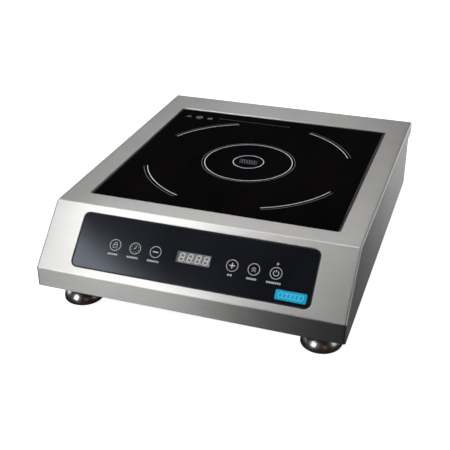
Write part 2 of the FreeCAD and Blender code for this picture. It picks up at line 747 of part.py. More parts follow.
def coil_leads():
    """Two thick leads from the coil's edge down to the power board."""
    leads = []
    z = COIL_BASE + 1.4
    for x, y in ((-30.0, 131.0), (-42.0, 127.0)):
        angle = math.atan2(y - GLASS_MIDDLE_Y, x)
        start = Vector(
            (COIL_OUTER + 3.1) * math.cos(angle), GLASS_MIDDLE_Y + (COIL_OUTER + 3.1) * math.sin(angle), z
        )
        corner = Vector(x, y, z)
        run = corner.sub(start)
        lead = Part.makeCylinder(1.3, run.Length, start, run)
        lead = lead.fuse([Part.makeSphere(1.3, corner), rod(x, y, BOARD_TOP + 2, z, 1.3)])
        lug = rounded_block(x - 4, x + 4, y - 4, y + 4, BOARD_TOP, BOARD_TOP + 2.2, 2.0)
        leads.append(lead.fuse(lug))
    return group(leads)


# ---- electronics ----

def board_post_places():
    x0, x1, y0, y1 = BOARD
    return [(x, y) for x in (x0 + 6, x1 - 6) for y in (y0 + 5, y1 - 6)]


def power_board():
    """Main circuit board."""
    x0, x1, y0, y1 = BOARD
    board = rounded_block(x0, x1, y0, y1, BOARD_TOP - BOARD_THICK, BOARD_TOP, 3.0)
    return board.cut([rod(x, y, 30, 60, 1.6) for x, y in board_post_places()])


def power_board_posts():
    """Snap-in plastic posts on the tray."""
    low = BOARD_TOP - BOARD_THICK
    posts = []
    for x, y in board_post_places():
        post = rod(x, y, TRAY_TOP, low, 3.5).fuse(rod(x, y, low - 0.2, BOARD_TOP + 2, 1.5))
        posts.append(post.fuse(rod(x, y, BOARD_TOP + 0.05, BOARD_TOP + 1.2, 2.1)))
    return group(posts)


def heat_sink():
    """Extruded aluminium: base plate with fins along the air flow."""
    x0, x1, y0, y1 = SINK
    foot = BOARD_TOP + 5.2
    sink = block(x0, x1, y0, y1, foot, foot + 4.0)
    fins = 12
    pitch = (x1 - x0 - 1.6) / (fins - 1)
    return sink.fuse([block(x0 + i * pitch, x0 + i * pitch + 1.6, y0, y1, foot + 3.9, 81.5) for i in range(fins)])


def flat_package(x, y, width, length, legs):
    """Power package lying under the heat sink: body and legs down to the board."""
    body = block(x - width / 2, x + width / 2, y, y + length, BOARD_TOP + 0.2, BOARD_TOP + 5.2)
    pitch = width / (legs + 1)
    leads = []
    for i in range(legs):
        lx = x - width / 2 + (i + 1) * pitch
        leads.append(block(lx - 0.6, lx + 0.6, y - 5, y + 0.2, BOARD_TOP + 2.2, BOARD_TOP + 2.8))
        leads.append(block(lx - 0.6, lx + 0.6, y - 5, y - 4.4, BOARD_TOP, BOARD_TOP + 2.8))
    return body.fuse(leads)


def power_transistors():
    """Two switching transistors under the heat sink."""
    return group([flat_package(x, 45.0, 16.0, 21.0, 3) for x in (65.0, 100.0)])


def bridge_rectifier():
    """Rectifier under the heat sink's front half."""
    return flat_package(85.0, -12.0, 28.0, 20.0, 4)


def film_capacitors():
    """Smoothing and resonance capacitors."""
    boxes = [(-48.0, -16.0, -28.0, -4.0, 28.0), (-48.0, -16.0, 2.0, 26.0, 28.0), (-2.0, 28.0, 60.0, 82.0, 24.0)]
    return group([rounded_block(x0, x1, y0, y1, BOARD_TOP, BOARD_TOP + h, 1.5) for x0, x1, y0, y1, h in boxes])


CHOKE_PLACE = (-78.0, 78.0)


def choke_core():
    """Toroid core of the mains choke."""
    x, y = CHOKE_PLACE
    return tube(x, y, BOARD_TOP + 3.0, BOARD_TOP + 15.0, 17.0, 9.0)


def choke_winding():
    """Wire turns round the toroid, as separate closed turns."""
    x, y = CHOKE_PLACE
    wire = 1.0
    turns = []
    for i in range(20):
        loop = block(8.0 - wire, 18.0 + wire, -wire, wire, 1.0, 17.0)
        loop = loop.cut(block(8.0 + wire, 18.0 - wire, -2 * wire, 2 * wire, 3.0, 15.0))
        loop = loop.cut(block(8.9, 17.1, -2 * wire, 2 * wire, 2.9, 15.1))
        loop.rotate(Vector(0, 0, 0), Vector(0, 0, 1), 18 * i)
        turns.append(loop.translated(Vector(x, y, BOARD_TOP)))
    return group(turns)


def control_transformer():
    """Small transformer for the control supply: one block with a channel on each side for its windings."""
    core = block(-100, -64, -28, 2, BOARD_TOP, BOARD_TOP + 26)
    core = core.cut([block(-101, -63, -29, -20, BOARD_TOP + 5, BOARD_TOP + 21)])
    core = core.cut([block(-101, -63, -6, 3, BOARD_TOP + 5, BOARD_TOP + 21)])
    return core


def terminal_block():
    """Three-way mains terminal block."""
    low, middle_y, ways, pitch = -98.0, 124.0, 3, 13.0
    body = block(low, low + ways * pitch + 1, middle_y - 9, middle_y + 9, BOARD_TOP, BOARD_TOP + 14)
    cuts = []
    for way in range(ways):
        x = low + 7.0 + pitch * way
        cuts.append(rod(x, middle_y, BOARD_TOP + 6, BOARD_TOP + 20, 3.0))
        cuts.append(Part.makeCylinder(2.6, 8, Vector(x, middle_y + 5, BOARD_TOP + 5), Vector(0, 1, 0)))
    return body.cut(cuts)


def signal_ribbon():
    """Flat ribbon from the control board down to the tray and back up to the power board."""
    start_y, start_z = slope_point(57.0, -BOARD_DEPTH - BOARD_THICK - 6.0)
    thick = 1.0
    upper = [(start_y, start_z), (-166.0, 44.0), (-150.0, 36.2), (-52.0, 36.2), (-44.0, 48.0), (-36.0, 48.0)]
    upper += [(-36.0, BOARD_TOP)]
    lower = [(y - thick * 0.6, z - thick * 0.9) for y, z in upper[:2]] + [(-150.4, 35.2), (-51.6, 35.2)]
    lower += [(-43.4, 47.0), (-37.0, 47.0), (-37.0, BOARD_TOP)]
    outline = [Vector(-39.5, y, z) for y, z in upper + lower[::-1]]
    return Part.Face(Part.makePolygon(outline + outline[:1])).extrude(Vector(14, 0, 0))


def earth_stud():
    """Protective earth stud with washer and nut, inside by the gland."""
    x, y = -146.0, 110.0
    stud = rod(x, y, TRAY_TOP, TRAY_TOP + 16, 2.4).fuse(rod(x, y, TRAY_TOP, TRAY_TOP + 1.2, 5.5))
    return group([stud.fuse(hexagon(x, y, TRAY_TOP + 1.2, TRAY_TOP + 5.2, 8.0))])


def along_rear(shape):
    """Turns a shape drawn upright so that its axis points out of the rear panel at the gland."""
    placed = shape.copy()
    placed.rotate(Vector(0, 0, 0), Vector(1, 0, 0), -90)
    return placed.translated(Vector(GLAND_X, PANEL_Y, GLAND_Z))


def cable_gland():
    """Nylon cord gland: thread through the panel, hexagon outside and domed clamp nut, bored for the cord."""
    body = rod(0, 0, -9.0, 0.5, 9.8)
    body = body.fuse(hexagon(0, 0, 0, 5.0, 24.0))
    body = body.fuse(turned([(0, 4), (10.6, 4), (11.4, 6.5), (11.4, 13.0), (9.0, 18.0), (7.0, 19.5), (0, 19.5)]))
    return along_rear(body.cut(rod(0, 0, -12, 24, CORD_RADIUS)))


def gland_nut():
    """Lock nut inside the rear panel."""
    nut = hexagon(0, 0, -SHEET - 5.0, -SHEET, 26.0)
    return along_rear(nut.cut(rod(0, 0, -10, 2, 9.9)))


# ---- fan ----

def fan_hole_places():
    """The fan frame's four corner holes."""
    reach = FAN_HOLES / 2
    return [(FAN_X + sx * reach, FAN_Y + sy * reach) for sx in (-1, 1) for sy in (-1, 1)]


def fan_frame():
    """Square frame with a round duct, four motor struts and a motor seat."""
    half = FAN_SIDE / 2
    z0, z1 = TRAY_TOP, TRAY_TOP + FAN_HEIGHT
    frame = rounded_block(FAN_X - half, FAN_X + half, FAN_Y - half, FAN_Y + half, z0, z1, 4.0)
    frame = frame.cut(rod(FAN_X, FAN_Y, z0 - 1, z1 + 1, 44.0))
    seat = rod(FAN_X, FAN_Y, z0, z0 + 2.4, 17.0)
    struts = []
    for i in range(4):
        strut = block(10, 45, -1.8, 1.8, z0, z0 + 2.4)
        strut.rotate(Vector(0, 0, 0), Vector(0, 0, 1), 90 * i + 45)
        struts.append(strut.translated(Vector(FAN_X, FAN_Y, 0)))
    frame = frame.fuse([seat] + struts)
    return frame.cut([rod(x, y, z0 - 1, z1 + 1, 2.15) for x, y in fan_hole_places()])


def fan_screws():
    """Four long screws through the frame's corners into the tray."""
    seat = TRAY_TOP + FAN_HEIGHT
    screws = []
    for x, y in fan_hole_places():
        shank = rod(x, y, TRAY_BOTTOM - 1.0, seat + 0.1, 1.9)
        screws.append(shank.fuse(rod(x, y, seat, seat + 1.6, 3.4)))
    return group(screws)


def fan_stator():
    """Motor stator: bearing tube, four wound poles and a small circuit disc, fixed to the frame's seat."""
    z0 = TRAY_TOP + 2.4
    tube_solid = rod(FAN_X, FAN_Y, z0, z0 + 15.0, 3.6)
    disc = rod(FAN_X, FAN_Y, z0, z0 + 1.4, 15.0)
    poles = []
    for i in range(4):
        arm = block(3.0, 12.0, -3.2, 3.2, z0 + 3.5, z0 + 12.0)
        shoe = block(11.5, 13.6, -6.5, 6.5, z0 + 4.5, z0 + 11.0)
        pole = arm.fuse(shoe)
        pole.rotate(Vector(0, 0, 0), Vector(0, 0, 1), 90 * i)
        poles.append(pole.translated(Vector(FAN_X, FAN_Y, 0)))
    stator = tube_solid.fuse([disc] + poles)
    return stator.cut(rod(FAN_X, FAN_Y, z0 - 1, z0 + 16, SHAFT_RADIUS + SHAFT_CLEARANCE))


def fan_shaft():
    """Steel shaft, pressed in the hub and running in the bearing tube."""
    return rod(FAN_X, FAN_Y, TRAY_TOP + 3.0, TRAY_TOP + 21.0, SHAFT_RADIUS)


def fan_blade():
    """Twisted blade: steep at the hub, flatter at the tip."""
    wires = []
    for radius, chord, pitch in ((15.5, 15.0, 50.0), (28.0, 20.0, 38.0), (42.0, 25.0, 28.0)):
        lean = math.radians(pitch)
        along = (math.cos(lean), math.sin(lean))
        across = (-math.sin(lean), math.cos(lean))
        corners = []
        for u, v in ((-0.5, -0.5), (0.0, -0.2), (0.5, -0.5), (0.5, 0.5), (0.0, 0.8), (-0.5, 0.5)):
            a = u * chord
            b = v * 1.4
            corners.append(Vector(radius, a * along[0] + b * across[0], a * along[1] + b * across[1]))
        wires.append(Part.makePolygon(corners + corners[:1]))
    return Part.makeLoft(wires, True, True)


def fan_rotor():
    """Impeller: hub cup over the stator with seven blades."""
    z0 = TRAY_TOP + 3.4
    cup = rod(0, 0, z0, z0 + 19.0, 17.5).cut(rod(0, 0, z0 - 1, z0 + 16.5, 15.4))
    rotor = cup.fuse(rod(0, 0, z0 + 14.9, z0 + 17.0, 4.2))
    blades = []
    for i in range(BLADES):
        blade = fan_blade()
        blade.rotate(Vector(0, 0, 0), Vector(0, 0, 1), 360.0 * i / BLADES)
        blades.append(blade.translated(Vector(0, 0, z0 + 9.5)))
    ring = rod(0, 0, z0, z0 + 19.0, 42.8).cut(rod(0, 0, z0 - 1, z0 + 20, 16.4))
    swept = blades[0].fuse(blades[1:]).common(ring)
    rotor = rotor.fuse(swept)
    rotor = rotor.cut(rod(0, 0, z0 - 1, TRAY_TOP + 21.0, SHAFT_RADIUS))
    return rotor.translated(Vector(FAN_X, FAN_Y, 0))


def air_guide():
    """Hood from the fan over the heat sink, open towards the exhaust slots."""
    x0, x1 = 37.4, 132.6
    y0, y1 = -143.0, 150.0
    z0, z1 = TRAY_TOP + FAN_HEIGHT + 2.0, 84.5
    wall = 1.4
    guide = block(x0, x1, y0, y1, z0, z1)
    guide = guide.cut(block(x0 + wall, x1 - wall, y0 + wall, y1 + 1, z0 - 1, z1 - wall))
    return guide


NODES = {
    "top_cover": top_cover,
    "rear_panel": rear_panel,
    "base_tray": base_tray,
    "housing_screws": housing_screws,
    "ceramic_glass": ceramic_glass,
    "glass_seal": glass_seal,
    "glass_frame": glass_frame,
    "control_panel": control_panel,
    "panel_gasket": panel_gasket,
    "panel_bracket": panel_bracket,
    "badge_plate": badge_plate,
    "led_display": led_display,
    "power_led": power_led,
    "control_board": control_board,
    "control_board_posts": control_board_posts,
    "control_board_parts": control_board_parts,
    "touch_springs": touch_springs,
    "foot_nuts": foot_nuts,
    "coil_winding": coil_winding,
    "coil_carrier": coil_carrier,
    "ferrite_bars": ferrite_bars,
    "mica_sheet": mica_sheet,
    "coil_bracket": coil_bracket,
    "coil_posts": coil_posts,
    "coil_springs": coil_springs,
    "sensor_holder": sensor_holder,
    "pan_sensor": pan_sensor,
    "coil_leads": coil_leads,
    "power_board": power_board,
    "power_board_posts": power_board_posts,
    "heat_sink": heat_sink,
    "power_transistors": power_transistors,
    "bridge_rectifier": bridge_rectifier,
    "film_capacitors": film_capacitors,
    "choke_core": choke_core,
    "choke_winding": choke_winding,
    "control_transformer": control_transformer,
    "terminal_block": terminal_block,
    "signal_ribbon": signal_ribbon,
    "earth_stud": earth_stud,
    "cable_gland": cable_gland,
    "gland_nut": gland_nut,
    "fan_frame": fan_frame,
    "fan_screws": fan_screws,
    "fan_stator": fan_stator,
    "fan_shaft": fan_shaft,
    "fan_rotor": fan_rotor,
    "air_guide": air_guide,
}


def main():
    os.makedirs("parts", exist_ok=True)
    for node, make in NODES.items():
        save(node, make())
    for corner, (x, y) in FEET.items():
        save(f"foot_bell_{corner}", foot_bell(x, y))
        save(f"foot_pad_{corner}", foot_pad(x, y))
    for corner, (x, y) in FEET.items():
        save(f"foot_stud_{corner}", foot_stud(x, y))


main()
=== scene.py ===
"""Looks of a countertop induction hob: brushed steel body, black cooking glass, touch panel, chromed feet.

Metres, in the frame's own axes: +X to the cook's right, +Y to the rear, +Z up, the worktop at z = 0.
"""

import json
import math

import bmesh
import bpy
from mathutils import Matrix, Vector


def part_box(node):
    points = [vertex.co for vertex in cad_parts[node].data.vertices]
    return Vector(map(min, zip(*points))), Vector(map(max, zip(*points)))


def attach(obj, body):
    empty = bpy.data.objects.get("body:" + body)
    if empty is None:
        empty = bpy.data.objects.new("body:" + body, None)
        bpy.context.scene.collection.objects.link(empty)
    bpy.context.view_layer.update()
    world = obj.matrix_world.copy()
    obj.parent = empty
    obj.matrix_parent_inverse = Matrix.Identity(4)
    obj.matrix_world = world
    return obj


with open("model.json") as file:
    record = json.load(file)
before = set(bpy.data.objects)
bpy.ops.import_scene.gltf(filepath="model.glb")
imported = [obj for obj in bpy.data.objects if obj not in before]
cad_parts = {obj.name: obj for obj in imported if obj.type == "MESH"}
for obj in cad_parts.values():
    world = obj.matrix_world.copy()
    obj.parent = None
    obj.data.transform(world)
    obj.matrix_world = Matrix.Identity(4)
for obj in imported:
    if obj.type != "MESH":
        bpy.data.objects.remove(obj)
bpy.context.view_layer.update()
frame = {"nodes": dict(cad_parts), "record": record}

MM = 0.001
HOUSING = "housing"

# ---- places read from the frame ----
GLASS_LOW, GLASS_HIGH = (Vector(corner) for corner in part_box("ceramic_glass"))
COVER_LOW, COVER_HIGH = (Vector(corner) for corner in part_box("top_cover"))
GLASS_MIDDLE = (GLASS_LOW + GLASS_HIGH) / 2
GLASS_FACE = GLASS_HIGH.z

# ---- touch panel: slope axes are x across, y up the slope and z out of it, from the panel's middle ----
SLOPE_RUN = 57.0 * MM
SLOPE_DROP = 55.5 * MM
SLOPE_ANGLE = math.atan2(SLOPE_DROP, SLOPE_RUN)
PANEL_RECESS = 0.3 * MM
PANEL_LENGTH = 60.4 * MM
PANEL_START = 9.6 * MM               # knee to panel, down the slope
PANEL_MIDDLE_DOWN = PANEL_START + PANEL_LENGTH / 2
SLOPE = (
    Matrix.Translation((0.0, COVER_LOW.y + SLOPE_RUN, COVER_HIGH.z))
    @ Matrix.Rotation(SLOPE_ANGLE, 4, "X")
    @ Matrix.Translation((0.0, -PANEL_MIDDLE_DOWN, -PANEL_RECESS))
)
KEY_RADIUS = 6.05 * MM
KEY_DOWN = 40.2 * MM                 # knee to the keys' middles
KEY_STROKE = 0.52 * MM               # width of a key's ring line
SIGN_SCALE = 0.9                     # key signs, against the sizes that their functions give
INK_HEIGHT = 0.05 * MM
DISPLAY_MIDDLE = 1.4 * MM            # across
DISPLAY_WIDTH = 37.2 * MM
DISPLAY_DOWN = 40.5 * MM             # knee to the display's middle
DISPLAY_RECESS = 0.2 * MM            # its face, under the panel's
BADGE_DOWN = 61.15 * MM              # knee to the blue plate's middle
BADGE_THICK = 0.4 * MM

# ---- glass marks ----
MARKS_SHIFT = -3.3 * MM              # the marks' middle, towards the cook from the glass's middle
MARKS = Matrix.Translation((0.0, GLASS_MIDDLE.y + MARKS_SHIFT, GLASS_FACE))
ZONE_RADIUS = 53.0 * MM
MIDDLE_RING_RADIUS = 18.5 * MM
CORNER_RADIUS = 121.8 * MM
CORNER_HALF_SWEEP = 21.5             # degrees
SIGN_PLACES = (-123.0 * MM, -108.0 * MM, -93.0 * MM)
SIGNS_UP = 120.0 * MM                # the marks' middle to the signs, towards the rear
DASHES_START = -80.0 * MM
DASHES_UP = 124.0 * MM


# ---------------------------------------------------------------- node helpers

def material(name, base=(0.5, 0.5, 0.5), roughness=0.5, metallic=0.0, **sockets):
    """New material with one Principled shader. Sockets are named with underscores for spaces."""
    made = bpy.data.materials.new(f"{name}_finish")
    made.use_nodes = True
    nodes = made.node_tree.nodes
    nodes.clear()
    output = nodes.new("ShaderNodeOutputMaterial")
    shader = nodes.new("ShaderNodeBsdfPrincipled")
    shader.name = "shader"
    made.node_tree.links.new(shader.outputs["BSDF"], output.inputs["Surface"])
    shader.inputs["Base Color"].default_value = (*base, 1.0)
    shader.inputs["Roughness"].default_value = roughness
    shader.inputs["Metallic"].default_value = metallic
    for key, value in sockets.items():
        shader.inputs[key.replace("_", " ")].default_value = value
    return made


def add(tree, kind, inputs=None, **settings):
    """Adds a node to a tree. Inputs are numbers, colours or other nodes' outputs."""
    new = tree.nodes.new(kind)
    for key, value in settings.items():
        setattr(new, key, value)
    for key, value in (inputs or {}).items():
        if isinstance(value, bpy.types.NodeSocket):
            tree.links.new(value, new.inputs[key])
        else:
            new.inputs[key].default_value = value
    return new


def node(made, kind, inputs=None, **settings):
    """Adds a node to a material."""
    return add(made.node_tree, kind, inputs, **settings)


def math_node(made, operation, *values):
    """Result of one Math node."""
    return node(made, "ShaderNodeMath", dict(enumerate(values)), operation=operation).outputs[0]


def shader_of(made):
    return made.node_tree.nodes["shader"]


def link(made, output, socket):
    made.node_tree.links.new(output, shader_of(made).inputs[socket])


def object_place(made):
    return node(made, "ShaderNodeTexCoord").outputs["Object"]


def stretched(made, scale):
    """Object coordinates, scaled."""
    return node(made, "ShaderNodeMapping", {"Vector": object_place(made), "Scale": scale}).outputs["Vector"]


def even(made, scale):
    """Object coordinates, scaled alike in every direction."""
    return stretched(made, (scale, scale, scale))


def noise(made, vector, detail=3.0):
    settings = {"Vector": vector, "Scale": 1.0, "Detail": detail, "Roughness": 0.55}
    return node(made, "ShaderNodeTexNoise", settings).outputs["Fac"]


def spread(made, value, low, high, span=(0.3, 0.7)):
    """Maps a noise value's usual span to low..high."""
    mapped = node(
        made,
        "ShaderNodeMapRange",
        {"Value": value, "From Min": span[0], "From Max": span[1], "To Min": low, "To Max": high},
    )
    return mapped.outputs["Result"]


def between(made, factor, first, second):
    """Colour between two colours."""
    mix = node(
        made, "ShaderNodeMix", {"Factor": factor, "A": (*first, 1.0), "B": (*second, 1.0)}, data_type="RGBA"
    )
    return next(output for output in mix.outputs if output.type == "RGBA")


def paint(made, pattern, dark, light, span=(0.3, 0.7)):
    """Base colour that goes from dark to light with a noise. Returns the colour."""
    colour = between(made, spread(made, pattern, 0.0, 1.0, span), dark, light)
    link(made, colour, "Base Color")
    return colour


def glow(made, colour, strength):
    """Gives off a little of a colour."""
    link(made, colour, "Emission Color")
    shader_of(made).inputs["Emission Strength"].default_value = strength


def bump(made, height, strength, distance):
    made_bump = node(made, "ShaderNodeBump", {"Height": height, "Strength": strength, "Distance": distance})
    link(made, made_bump.outputs["Normal"], "Normal")


# ---------------------------------------------------------------- finishes

STEEL_DARK = (0.54, 0.535, 0.527)
STEEL_LIGHT = (0.66, 0.655, 0.647)
GRAIN_LONG = 45.0                    # noise scale along the grain
GRAIN_FINE = 2600.0                  # noise scale across it
SIDE_FACING = 0.95                   # a face whose normal has this much X is a side
FOLD_POLISH = -0.12                  # change of roughness on a fold


def brushed_steel():
    """Satin stainless: grain along X on top, slope and strip, along Y on the sides, brighter on the folds."""
    made = material("brushed_steel", (0.6, 0.6, 0.6), 0.4, 1.0, Anisotropic=0.97)
    across = noise(made, stretched(made, (GRAIN_LONG, GRAIN_FINE, GRAIN_FINE)))
    along = noise(made, stretched(made, (GRAIN_FINE, GRAIN_LONG, GRAIN_FINE)))
    normal = node(made, "ShaderNodeTexCoord").outputs["Normal"]
    parts = node(made, "ShaderNodeSeparateXYZ", {"Vector": normal})
    side = math_node(made, "ABSOLUTE", parts.outputs["X"])
    is_side = math_node(made, "GREATER_THAN", side, SIDE_FACING)
    grain = node(made, "ShaderNodeMix", {"Factor": is_side, "A": across, "B": along}).outputs["Result"]
    cloud = noise(made, even(made, 11.0))
    tone = node(made, "ShaderNodeMix", {"Factor": 0.45, "A": grain, "B": cloud}).outputs["Result"]
    paint(made, tone, STEEL_DARK, STEEL_LIGHT, (0.34, 0.66))
    leaving_top = spread(made, side, 0.0, 1.0, (0.06, 0.3))
    reaching_side = spread(made, side, 1.0, 0.0, (0.93, 0.995))
    fold = math_node(made, "MULTIPLY", leaving_top, reaching_side)
    matt = spread(made, grain, 0.38, 0.42)
    link(made, math_node(made, "MULTIPLY_ADD", fold, FOLD_POLISH, matt), "Roughness")
    bump(made, grain, 0.05, 0.03 * MM)
    link(made, groove_tangent(made, is_side), "Tangent")
    return made


def groove_tangent(made, is_side):
    """Direction across the grain, in the surface: the grain is along Y on a side and along X elsewhere."""
    groove = node(
        made, "ShaderNodeCombineXYZ", {"X": math_node(made, "SUBTRACT", 1.0, is_side), "Y": is_side}
    )
    normal = node(made, "ShaderNodeNewGeometry").outputs["Normal"]
    across_groove = node(
        made, "ShaderNodeVectorMath", {0: normal, 1: groove.outputs["Vector"]}, operation="CROSS_PRODUCT"
    )
    return across_groove.outputs["Vector"]


def zinc_sheet():
    """Zinc-coated sheet with faint crystal flakes."""
    made = material("zinc_sheet", (0.5, 0.51, 0.52), 0.45, 1.0)
    flakes = node(made, "ShaderNodeTexVoronoi", {"Vector": even(made, 1.0), "Scale": 160.0})
    tone = node(made, "ShaderNodeSeparateColor", {"Color": flakes.outputs["Color"]}).outputs["Red"]
    link(made, between(made, tone, (0.44, 0.45, 0.46), (0.54, 0.55, 0.57)), "Base Color")
    link(made, spread(made, tone, 0.38, 0.52, (0.0, 1.0)), "Roughness")
    return made


def plain_metal(name, dark, light, roughness, grain_scale=500.0):
    """Metal with a fine, even tone variation."""
    made = material(name, dark, roughness, 1.0)
    grain = noise(made, even(made, grain_scale))
    paint(made, grain, dark, light)
    link(made, spread(made, grain, roughness * 0.85, roughness * 1.2), "Roughness")
    return made


def chrome():
    """Plating with a faint satin haze."""
    made = material("chrome", (0.72, 0.71, 0.70), 0.28, 1.0)
    haze = noise(made, even(made, 60.0), detail=4.0)
    paint(made, haze, (0.56, 0.53, 0.51), (0.70, 0.68, 0.66))
    link(made, spread(made, haze, 0.24, 0.30), "Roughness")
    return made


def cooking_glass():
    """Black ceramic glass: deep, nearly neutral, with the slightest smear in its gloss."""
    made = material("cooking_glass", (0.003, 0.0025, 0.003), 0.05, 0.0, IOR=1.45)
    smear = noise(made, stretched(made, (22.0, 7.0, 22.0)), detail=5.0)
    paint(made, smear, (0.0016, 0.0014, 0.0015), (0.004, 0.003, 0.003))
    link(made, spread(made, smear, 0.035, 0.08), "Roughness")
    return made


def panel_glass():
    """Touch panel: black print behind clear sheet, cooler than the cooking glass."""
    cool = (0.78, 0.86, 1.0, 1.0)
    made = material("panel_glass", (0.006, 0.0065, 0.0085), 0.2, 0.0, IOR=1.72, Specular_Tint=cool)
    smear = noise(made, even(made, 16.0), detail=4.0)
    paint(made, smear, (0.0055, 0.006, 0.0085), (0.0085, 0.009, 0.0125))
    link(made, spread(made, smear, 0.12, 0.155), "Roughness")
    return made


def soft_plastic(name, dark, light, roughness, scale=900.0, strength=0.25):
    """Moulded plastic, rubber or lacquer with a fine texture."""
    made = material(name, dark, roughness)
    grain = noise(made, even(made, scale), detail=2.0)
    paint(made, grain, dark, light)
    link(made, spread(made, grain, roughness * 0.88, roughness * 1.12), "Roughness")
    bump(made, grain, strength, 0.1 * MM)
    return made


def circuit_board():
    """Green lacquer over a track pattern."""
    made = material("circuit_board", (0.02, 0.16, 0.07), 0.35)
    layout = {"Vector": even(made, 1.0), "Scale": 140.0, "Mortar Size": 0.03, "Brick Width": 1.6}
    tracks = node(made, "ShaderNodeTexBrick", layout).outputs["Fac"]
    link(made, between(made, tracks, (0.012, 0.12, 0.05), (0.03, 0.22, 0.09)), "Base Color")
    return made


def wound_wire(name, dark, light, scale):
    """Copper strands: fine bands of light and dark."""
    made = material(name, dark, 0.32, 1.0)
    bands = {"Vector": even(made, 1.0), "Scale": scale, "Distortion": 1.5}
    strands = node(made, "ShaderNodeTexWave", bands).outputs["Fac"]
    link(made, between(made, strands, dark, light), "Base Color")
    bump(made, strands, 0.4, 0.1 * MM)
    return made


def ink(name, dark, light, strength):
    """Screen-printed line or lit segment, with a little uneven cover and a little glow: on a lit segment this
    is its own light, on a printed line it is a painted glow, as print gives off no light.
    """
    made = material(name, dark, 0.42)
    cover = noise(made, even(made, 700.0), detail=2.0)
    glow(made, paint(made, cover, dark, light), strength)
    return made


def badge_blue():
    """Cyan-blue gloss plate, slightly uneven, with a little painted glow, as the plate is no lamp."""
    made = material("badge_blue", (0.01, 0.3, 0.55), 0.18)
    slow = noise(made, even(made, 30.0), detail=2.0)
    glow(made, paint(made, slow, (0.004, 0.27, 0.47), (0.010, 0.34, 0.56)), 0.25)
    return made


def display_window():
    """Grey display face, darker at its left end, where no digit stands, with a little painted glow of its own
    colour, as the face is no lamp.
    """
    made = material("display_window", (0.2, 0.2, 0.2), 0.25)
    place = node(made, "ShaderNodeSeparateXYZ", {"Vector": object_place(made)})
    left = DISPLAY_MIDDLE - DISPLAY_WIDTH / 2
    fade = spread(made, place.outputs["X"], 0.0, 1.0, (left, left + 4 * MM))
    grain = noise(made, even(made, 400.0), detail=2.0)
    factor = math_node(made, "MULTIPLY", fade, spread(made, grain, 0.8, 1.0))
    colour = between(made, factor, (0.035, 0.04, 0.048), (0.15, 0.152, 0.157))
    link(made, colour, "Base Color")
    glow(made, colour, 0.25)
    return made


FINISHES = {
    "brushed_steel": brushed_steel(),
    "zinc_sheet": zinc_sheet(),
    "screw_zinc": plain_metal("screw_zinc", (0.42, 0.42, 0.40), (0.60, 0.60, 0.57), 0.30),
    "spring_steel": plain_metal("spring_steel", (0.35, 0.35, 0.36), (0.55, 0.55, 0.56), 0.25),
    "transformer_steel": soft_plastic("transformer_steel", (0.03, 0.03, 0.032), (0.06, 0.06, 0.065), 0.4),
    "chrome": chrome(),
    "aluminium": plain_metal("aluminium", (0.62, 0.63, 0.64), (0.76, 0.77, 0.78), 0.38, 300.0),
    "litz_copper": wound_wire("litz_copper", (0.35, 0.14, 0.05), (0.68, 0.33, 0.15), 500.0),
    "enamel_copper": wound_wire("enamel_copper", (0.30, 0.09, 0.03), (0.58, 0.22, 0.08), 700.0),
    "brass_plain": plain_metal("brass_plain", (0.55, 0.38, 0.12), (0.75, 0.55, 0.22), 0.3),
    "ceramic_black": cooking_glass(),
    "panel_black": panel_glass(),
    "seal_grey": soft_plastic("seal_grey", (0.030, 0.027, 0.025), (0.048, 0.044, 0.041), 0.5, 500.0, 0.15),
    "gasket_black": soft_plastic("gasket_black", (0.004, 0.004, 0.005), (0.009, 0.009, 0.010), 0.6),
    "pad_rubber": soft_plastic("pad_rubber", (0.012, 0.012, 0.012), (0.026, 0.026, 0.026), 0.75, 700.0, 0.5),
    "silicone_white": soft_plastic("silicone_white", (0.62, 0.61, 0.58), (0.74, 0.73, 0.70), 0.55),
    "badge_blue": badge_blue(),
    "display_grey": display_window(),
    "led_lens": ink("led_lens", (0.30, 0.26, 0.22), (0.38, 0.34, 0.29), 0.12),
    "board_green": circuit_board(),
    "chip_black": soft_plastic("chip_black", (0.012, 0.012, 0.013), (0.03, 0.03, 0.032), 0.5),
    "plastic_black": soft_plastic("plastic_black", (0.010, 0.010, 0.011), (0.024, 0.024, 0.026), 0.5),
    "nylon_white": soft_plastic("nylon_white", (0.66, 0.65, 0.61), (0.78, 0.77, 0.73), 0.45),
    "capacitor_grey": soft_plastic("capacitor_grey", (0.10, 0.11, 0.13), (0.14, 0.15, 0.17), 0.35),
    "ribbon_grey": soft_plastic("ribbon_grey", (0.30, 0.30, 0.31), (0.40, 0.40, 0.41), 0.5),
    "ferrite": soft_plastic("ferrite", (0.020, 0.020, 0.022), (0.045, 0.045, 0.048), 0.55, 600.0, 0.6),
    "mica": soft_plastic("mica", (0.50, 0.45, 0.34), (0.66, 0.61, 0.48), 0.4, 120.0, 0.1),
}
# The printed inks below glow a little, which is painted light, as print gives off no light; only the lit
# digits glow with their own light.
GLASS_INK = ink("glass_ink", (0.50, 0.55, 0.64), (0.62, 0.67, 0.75), 0.5)
SIGN_INK = ink("sign_ink", (0.20, 0.21, 0.23), (0.28, 0.29, 0.31), 0.35)
FAINT_INK = ink("faint_ink", (0.10, 0.11, 0.13), (0.15, 0.165, 0.19), 0.35)
KEY_INK = ink("key_ink", (0.42, 0.43, 0.45), (0.56, 0.57, 0.59), 0.25)
LABEL_INK = ink("label_ink", (0.34, 0.35, 0.37), (0.46, 0.47, 0.49), 0.2)
DIGIT_LIT = ink("digit_lit", (0.42, 0.42, 0.42), (0.52, 0.52, 0.52), 0.3)
BADGE_INK = ink("badge_ink", (0.10, 0.50, 0.68), (0.16, 0.58, 0.74), 0.2)


# ---------------------------------------------------------------- geometry node trees

